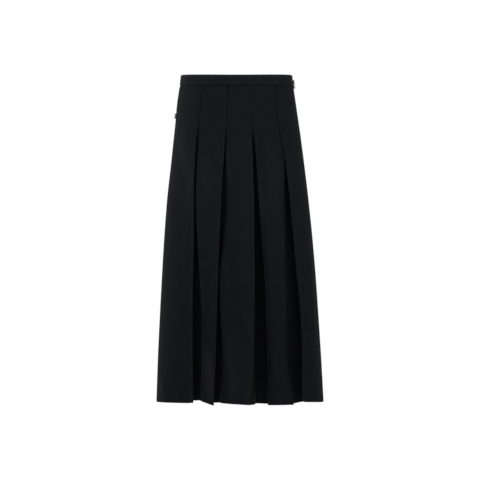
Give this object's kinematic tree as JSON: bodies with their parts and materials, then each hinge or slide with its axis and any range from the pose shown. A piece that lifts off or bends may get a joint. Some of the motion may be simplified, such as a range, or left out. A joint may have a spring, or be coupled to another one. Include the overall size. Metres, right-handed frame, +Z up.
{
  "type": "pleated midi skirt",
  "caption": "Long A-line skirt with stitched-down pleats, a narrow waistband and small buckled straps at the sides, filled out as worn.",
  "frame": {"origin": "centre of the waist, half-way up the waistband, where the wearer's waist holds the skirt", "axes": "+Z up, +X to the right of someone who looks at the front, -Y out of the front"},
  "size_m": [0.424, 0.3011, 0.8298],
  "materials": {
    "band_cloth": "matt wool",
    "skirt_cloth": "matt wool",
    "skirt_cloth_back": "matt wool",
    "hip_strap_leather": "smooth",
    "hip_tab_leather": "smooth",
    "hip_buckle_steel": "polished",
    "hip_prong_steel": "polished",
    "waist_strap_leather": "smooth",
    "waist_tab_leather": "smooth",
    "waist_buckle_steel": "polished",
    "waist_prong_steel": "polished"
  },
  "bodies": {
    "root": {"waistband": "band_cloth", "skirt_front": "skirt_cloth", "skirt_back": "skirt_cloth_back", "hip_strap": "hip_strap_leather", "hip_tab": "hip_tab_leather", "hip_buckle": "hip_buckle_steel", "hip_prong": "hip_prong_steel", "waist_strap": "waist_strap_leather", "waist_tab": "waist_tab_leather", "waist_buckle": "waist_buckle_steel", "waist_prong": "waist_prong_steel"}
  },
  "joints": []
}
